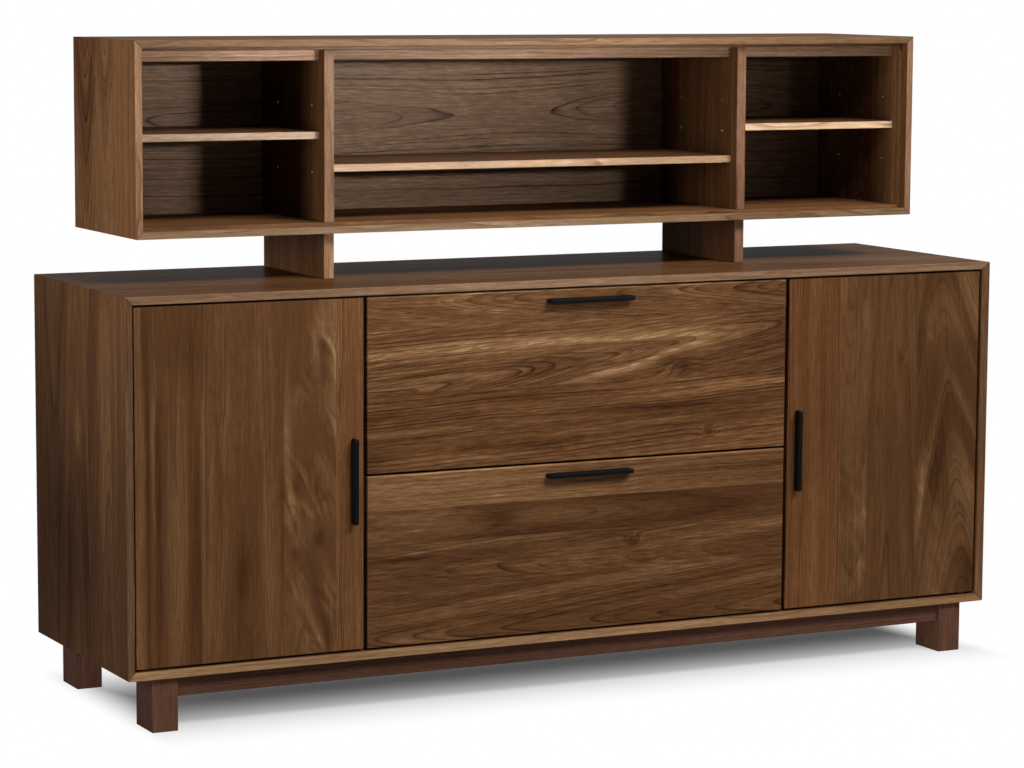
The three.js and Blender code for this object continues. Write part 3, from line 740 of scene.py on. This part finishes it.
# Metal, plastic and glue

# Waves in a metre along each axis
FINE_GRAIN_WAVES = (900.0, 900.0, 900.0)
FINE_CLOUD_WAVES = (60.0, 60.0, 60.0)
# How much the clouds change the colour, and the grain the roughness, and the grain's bump
FINE_CLOUD_SHARE = 0.12
FINE_GRAIN_ROUGHNESS = 0.05
FINE_GRAIN_BUMP = 0.15
FINE_GRAIN_DEPTH = 0.1 * MM


def fine_material(name, colour, metallic, roughness, shine):
    """Metal, plastic or glue with a cloudy colour and a fine grain."""
    material, tree, shader = new_material(name)
    place = tree.add("ShaderNodeTexCoord").outputs["Object"]
    grain = tree.noise(place, FINE_GRAIN_WAVES)
    cloud = tree.noise(place, FINE_CLOUD_WAVES, detail=3.0)
    level = tree.math("MULTIPLY_ADD", cloud, FINE_CLOUD_SHARE, 1.0)
    scaled = tree.add("ShaderNodeVectorMath", {0: colour, "Scale": level}, operation="SCALE")
    tree.put(shader.inputs["Base Color"], scaled.outputs[0])
    uneven = tree.math("MULTIPLY_ADD", grain, FINE_GRAIN_ROUGHNESS, roughness)
    tree.put(shader.inputs["Roughness"], uneven)
    relief = {"Strength": FINE_GRAIN_BUMP, "Distance": FINE_GRAIN_DEPTH, "Height": grain}
    tree.put(shader.inputs["Normal"], tree.add("ShaderNodeBump", relief).outputs[0])
    shader.inputs["Metallic"].default_value = metallic
    shader.inputs["Specular IOR Level"].default_value = shine
    return material


def fittings():
    bronze = fine_material("dark_bronze", (0.004, 0.0036, 0.0033), metallic=0.0, roughness=0.45, shine=0.04)
    zinc = fine_material("zinc_plate", (0.48, 0.49, 0.50), metallic=1.0, roughness=0.38, shine=0.5)
    steel = fine_material("black_steel", (0.020, 0.018, 0.017), metallic=0.0, roughness=0.5, shine=0.2)
    plastic = fine_material("brown_plastic", (0.035, 0.020, 0.013), metallic=0.0, roughness=0.5, shine=0.3)
    for part, material in (("_pull", bronze), ("_slide_", zinc), ("_pin", steel), ("_catch", plastic)):
        paint(material, *[name for name in NODES if part in name])


# New pieces

def cabinet_piece(name, mesh, material):
    """A piece on the fixed body, from a bmesh, which is freed."""
    data = bpy.data.meshes.new(name)
    mesh.to_mesh(data)
    mesh.free()
    data.materials.append(material)
    obj = bpy.data.objects.new(name, data)
    bpy.context.scene.collection.objects.link(obj)
    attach(obj, "cabinet")


# Metal sleeves in the shelf-pin holes

SLEEVE_OUTER = 2.95 * MM
SLEEVE_INNER = 2.55 * MM
SLEEVE_RIM = 3.6 * MM
SLEEVE_RIM_HEIGHT = 0.35 * MM
SLEEVE_INNER_EDGE = 0.6 * SLEEVE_RIM_HEIGHT
SLEEVE_OUTER_EDGE = 0.3 * SLEEVE_RIM_HEIGHT
SLEEVE_DEPTH = 6.0 * MM
SLEEVE_SIDES = 20
HUTCH_HOLE_ROWS = [(101 + 57 * row) * MM for row in range(3)]
HUTCH_HOLE_FRONT = 72 * MM
HUTCH_HOLE_BACK = 83 * MM
CABINET_HOLE_ROWS = [(251 + 64 * row) * MM for row in range(3)]
CABINET_HOLE_FRONT = 100 * MM
CABINET_HOLE_BACK = 80 * MM


def add_sleeve(mesh, face_x, side, y, z):
    """One flanged sleeve. side is +1 or -1: the way along X that the face with the hole looks."""
    profile = [
        (-SLEEVE_DEPTH, SLEEVE_OUTER),
        (-SLEEVE_DEPTH, SLEEVE_INNER),
        (SLEEVE_INNER_EDGE, SLEEVE_INNER),
        (SLEEVE_RIM_HEIGHT, SLEEVE_INNER + SLEEVE_RIM_HEIGHT),
        (SLEEVE_RIM_HEIGHT, SLEEVE_RIM - SLEEVE_RIM_HEIGHT),
        (SLEEVE_OUTER_EDGE, SLEEVE_RIM),
        (0.0, SLEEVE_RIM),
        (0.0, SLEEVE_OUTER),
    ]
    rings = []
    for step in range(SLEEVE_SIDES):
        angle = math.tau * step / SLEEVE_SIDES
        ring = []
        for out, radius in profile:
            point = (face_x + side * out, y + radius * math.cos(angle), z + radius * math.sin(angle))
            ring.append(mesh.verts.new(point))
        rings.append(ring)
    for here, after in zip(rings, rings[1:] + rings[:1]):
        for i in range(len(profile)):
            j = (i + 1) % len(profile)
            corners = (here[i], here[j], after[j], after[i])
            face = mesh.faces.new(corners if side > 0 else corners[::-1])
            face.smooth = True


def sleeves(name, bays, columns, rows, material):
    """Sleeves in the holes of the two boards beside each bay."""
    mesh = bmesh.new()
    for left, right in bays:
        for face_x, side in ((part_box(left)[1].x, 1), (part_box(right)[0].x, -1)):
            for y in columns:
                for z in rows:
                    add_sleeve(mesh, face_x, side, y, z)
    cabinet_piece(name, mesh, material)


def pin_hole_sleeves():
    nickel = fine_material("nickel_sleeve", (0.20, 0.17, 0.14), metallic=1.0, roughness=0.35, shine=0.5)
    low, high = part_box("hutch_left_side")
    columns = (low.y + HUTCH_HOLE_FRONT, high.y - HUTCH_HOLE_BACK)
    rows = [low.z + height for height in HUTCH_HOLE_ROWS]
    bays = [
        ("hutch_left_side", "hutch_left_divider"),
        ("hutch_left_divider", "hutch_right_divider"),
        ("hutch_right_divider", "hutch_right_side"),
    ]
    sleeves("hutch_pin_sleeves", bays, columns, rows, nickel)
    low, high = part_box("case_left_side")
    columns = (low.y + CABINET_HOLE_FRONT, high.y - CABINET_HOLE_BACK)
    rows = [low.z + height for height in CABINET_HOLE_ROWS]
    bays = [
        ("case_left_side", "left_partition"),
        ("right_partition", "case_right_side"),
    ]
    sleeves("case_pin_sleeves", bays, columns, rows, nickel)


# Glue in the mitres, which would otherwise be open slits

GLUE_THICKNESS = 0.3 * MM
GLUE_OUTER = 1.2 * MM
GLUE_INNER = 7.8 * MM
GLUE_BEHIND_FRONT = 6.0 * MM
GLUE_BEFORE_BACK = 1.2 * MM


def add_glue_line(mesh, corner_x, corner_z, inward_x, inward_z, front, back):
    """A thin strip on the mitre's plane at the shell's outer corner. inward_x and inward_z are +1 or -1."""
    aside = GLUE_THICKNESS / 2 / math.sqrt(2)
    ends = []
    for y in (front, back):
        end = []
        for depth, way in ((GLUE_OUTER, -1), (GLUE_INNER, -1), (GLUE_INNER, 1), (GLUE_OUTER, 1)):
            x = corner_x + inward_x * (depth + way * aside)
            z = corner_z + inward_z * (depth - way * aside)
            end.append(mesh.verts.new((x, y, z)))
        ends.append(end)
    near, far = ends
    mesh.faces.new(near)
    mesh.faces.new(far[::-1])
    for i in range(4):
        j = (i + 1) % 4
        mesh.faces.new((near[j], near[i], far[i], far[j]))


def glue_lines(shell, material):
    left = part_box(f"{shell}_left_side")
    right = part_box(f"{shell}_right_side")
    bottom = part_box(f"{shell}_bottom")
    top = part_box(f"{shell}_top")
    front = left[0].y + GLUE_BEHIND_FRONT
    back = left[1].y - GLUE_BEFORE_BACK
    mesh = bmesh.new()
    for corner_x, inward_x in ((left[0].x, 1), (right[1].x, -1)):
        for corner_z, inward_z in ((bottom[0].z, 1), (top[1].z, -1)):
            add_glue_line(mesh, corner_x, corner_z, inward_x, inward_z, front, back)
    bmesh.ops.recalc_face_normals(mesh, faces=mesh.faces)
    cabinet_piece(f"{shell}_glue_lines", mesh, material)


def mitre_glue():
    glue = fine_material("dark_glue", (0.030, 0.017, 0.009), metallic=0.0, roughness=0.6, shine=0.3)
    for shell in ("case", "hutch"):
        glue_lines(shell, glue)


# Eased edges

DRAWER_EASE = 2.2 * MM
# A rounder door would also fill the bottom of its pin bores, where the pins turn.
DOOR_EASE = 1.5 * MM
PLAIN_EASE = 0.8 * MM
EASE_STEPS = 2
SHARP_EDGE = math.radians(40)
WELD_REACH = 0.02 * MM


def ease_of(name):
    if name.endswith("_front"):
        return DRAWER_EASE
    if name.endswith("_door"):
        return DOOR_EASE
    return PLAIN_EASE


def ease_edges():
    for name, obj in NODES.items():
        weld = obj.modifiers.new("weld", "WELD")
        weld.merge_threshold = WELD_REACH
        bevel = obj.modifiers.new("bevel", "BEVEL")
        bevel.width = ease_of(name)
        bevel.segments = EASE_STEPS
        bevel.limit_method = "ANGLE"
        bevel.angle_limit = SHARP_EDGE
        bevel.harden_normals = True


# Studio

FLOOR_HALF = 12.0
FLOOR_COLOUR = (0.45, 0.45, 0.45, 1)
FLOOR_ROUGHNESS = 0.9
WHITE = (1, 1, 1, 1)
# The floor shows its shadow in a block under the object, and turns white around it. Lengths are in metres.
SHADOW_MIDDLE = 0.02
SHADOW_HALF_WIDTH = 0.80
SHADOW_HALF_DEPTH = 0.22
# The white comes this many times sooner at the sides than at the front and the back
SHADOW_SIDE_RATE = 3.0
# Distances from the block's edge, inward and outward, where the white starts and is full, and its least share
WHITE_STARTS = -0.22
WHITE_IS_FULL = 0.14
LEAST_WHITE = 0.08
# Strength of the world's light on the object
WORLD_LIGHT = 0.11


def light_path_is_seen(tree):
    """1 where the camera sees a thing straight, in a gloss or through glass, and 0 for other light."""
    path = tree.add("ShaderNodeLightPath").outputs
    seen = tree.math("MAXIMUM", path["Is Camera Ray"], path["Is Glossy Ray"])
    return tree.math("MAXIMUM", seen, path["Is Transmission Ray"])


def make_floor():
    mesh = bpy.data.meshes.new("floor")
    half = FLOOR_HALF
    corners = [(-half, -half, 0), (half, -half, 0), (half, half, 0), (-half, half, 0)]
    mesh.from_pydata(corners, [], [(0, 1, 2, 3)])
    floor = bpy.data.objects.new("floor", mesh)
    bpy.context.scene.collection.objects.link(floor)
    material, tree, shader = new_material("floor_paper")
    mesh.materials.append(material)
    shader.inputs["Base Color"].default_value = FLOOR_COLOUR
    shader.inputs["Roughness"].default_value = FLOOR_ROUGHNESS
    shader.inputs["Specular IOR Level"].default_value = 0.0
    place = tree.add("ShaderNodeTexCoord").outputs["Object"]
    x, y, _ = tree.split(place)
    x = tree.math("ABSOLUTE", tree.math("SUBTRACT", x, SHADOW_MIDDLE))
    aside = tree.math("MULTIPLY", tree.math("SUBTRACT", x, SHADOW_HALF_WIDTH), SHADOW_SIDE_RATE)
    before = tree.math("SUBTRACT", tree.math("ABSOLUTE", y), SHADOW_HALF_DEPTH)
    past_side = tree.math("MAXIMUM", aside, 0.0)
    past_front = tree.math("MAXIMUM", before, 0.0)
    outside = tree.vector("LENGTH", tree.join(past_side, past_front, 0.0))
    inside = tree.math("MINIMUM", tree.math("MAXIMUM", aside, before), 0.0)
    away = tree.math("ADD", outside, inside)
    white = tree.smooth(away, WHITE_STARTS, WHITE_IS_FULL, to_low=LEAST_WHITE)
    white = tree.math("MULTIPLY", white, light_path_is_seen(tree))
    glow = tree.add("ShaderNodeEmission", {"Color": WHITE, "Strength": 1.0})
    mix = tree.add("ShaderNodeMixShader", {0: white, 1: shader.outputs[0], 2: glow.outputs[0]})
    tree.put(tree.tree.nodes["Material Output"].inputs["Surface"], mix.outputs[0])


def make_world():
    world = bpy.data.worlds.new("studio")
    bpy.context.scene.world = world
    world.use_nodes = True
    tree = Tree(world.node_tree)
    background = world.node_tree.nodes["Background"]
    seen = light_path_is_seen(tree)
    background.inputs["Color"].default_value = WHITE
    strength = tree.math("MULTIPLY_ADD", seen, 1 - WORLD_LIGHT, WORLD_LIGHT)
    tree.put(background.inputs["Strength"], strength)


def area_light(name, place, target, size, power, spread=180):
    """A lamp at its place, facing its target. size is in metres, power in watts and spread in degrees."""
    data = bpy.data.lights.new(name, "AREA")
    data.shape = "RECTANGLE"
    data.size, data.size_y = size
    data.energy = power
    data.spread = math.radians(spread)
    light = bpy.data.objects.new(name, data)
    light.location = place
    light.rotation_mode = "QUATERNION"
    light.rotation_quaternion = (Vector(target) - Vector(place)).to_track_quat("-Z", "Y")
    bpy.context.scene.collection.objects.link(light)


def make_lights():
    area_light("key", place=(1.5, -3.7, 4.4), target=(0, -0.1, 0.5), size=(4.4, 0.9), power=352)
    area_light("hutch_key", place=(1.3, -3.6, 1.3), target=(-0.18, 0.1, 1.28), size=(0.6, 0.12),
               power=2.85, spread=22)
    area_light("fill", place=(-2.6, -0.5, 0.98), target=(-0.8, -0.32, 1.0), size=(0.5, 0.5),
               power=5.0, spread=64)
    area_light("low_fill", place=(-2.3, -2.1, 0.4), target=(-0.77, 0.16, 0.02), size=(0.3, 0.3),
               power=0.18, spread=10)
    area_light("leg_fill", place=(-3.0, -1.2, 0.12), target=(0.75, -0.2, 0.04), size=(0.2, 0.2),
               power=0.13, spread=8)


# The camera stands at the photograph's viewpoint. Its place is in metres, its angles in radians
CAMERA_PLACE = (-2.6669, -5.2424, 1.2488)
CAMERA_YAW = 0.4663
CAMERA_PITCH = 0.1245
CAMERA_ROLL = 0.0054
# Lens and sensor, in millimetres
CAMERA_LENS = 116.6
CAMERA_SENSOR = 36.0


def make_camera():
    data = bpy.data.cameras.new("camera")
    data.sensor_width = CAMERA_SENSOR
    data.lens = CAMERA_LENS
    camera = bpy.data.objects.new("camera", data)
    forward = Vector((math.sin(CAMERA_YAW), math.cos(CAMERA_YAW), 0))
    ahead = math.cos(CAMERA_PITCH) * forward - math.sin(CAMERA_PITCH) * Vector((0, 0, 1))
    level = Vector((math.cos(CAMERA_YAW), -math.sin(CAMERA_YAW), 0))
    upward = level.cross(ahead)
    right = math.cos(CAMERA_ROLL) * level + math.sin(CAMERA_ROLL) * upward
    up = math.cos(CAMERA_ROLL) * upward - math.sin(CAMERA_ROLL) * level
    turn = Matrix((right, up, -ahead)).transposed().to_4x4()
    camera.matrix_world = Matrix.Translation(CAMERA_PLACE) @ turn
    bpy.context.scene.collection.objects.link(camera)
    bpy.context.scene.camera = camera


door_boards()
drawer_boards()
case_shell()
hutch_shell()
inner_boards()
base_boards()
drawer_box_boards()
fittings()
pin_hole_sleeves()
mitre_glue()
ease_edges()
make_floor()
make_world()
make_lights()
make_camera()
bpy.context.scene.view_settings.view_transform = "Standard"
